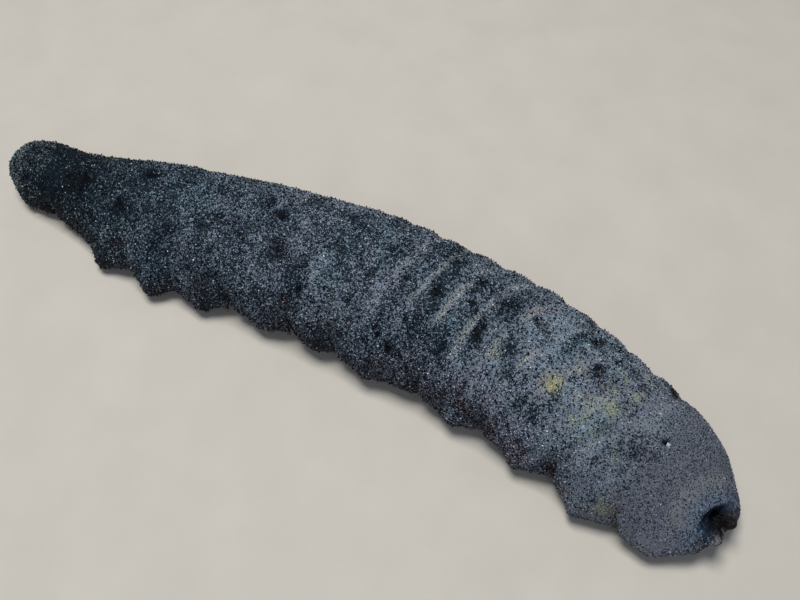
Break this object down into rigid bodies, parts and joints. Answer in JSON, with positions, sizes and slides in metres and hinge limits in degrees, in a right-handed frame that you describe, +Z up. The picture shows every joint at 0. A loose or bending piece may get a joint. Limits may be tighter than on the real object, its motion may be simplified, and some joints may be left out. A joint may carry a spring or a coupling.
{
  "type": "sea cucumber model",
  "caption": "Life-size still model of a dark grey sea cucumber lying on its sole, its soft loaf-shaped body gently bent to one side.",
  "frame": {"origin": "on the floor, under the middle of the animal's box", "axes": "+Z up from the floor, +X along the long way towards the vent end, the mouth end at -X"},
  "size_m": [0.3365, 0.0834, 0.0475],
  "materials": {
    "skin": "leathery dark grey body wall dusted with fine pale sediment, matt",
    "tentacles": "soft dark brown-grey mouth skin and tentacles, damp sheen",
    "vent_skin": "smooth slate-blue soft skin, damp sheen"
  },
  "bodies": {
    "root": {"head_end": "skin", "front_body": "skin", "middle_body": "skin", "rear_body": "skin", "vent_end": "skin", "mouth": "tentacles", "vent": "vent_skin"}
  },
  "joints": []
}
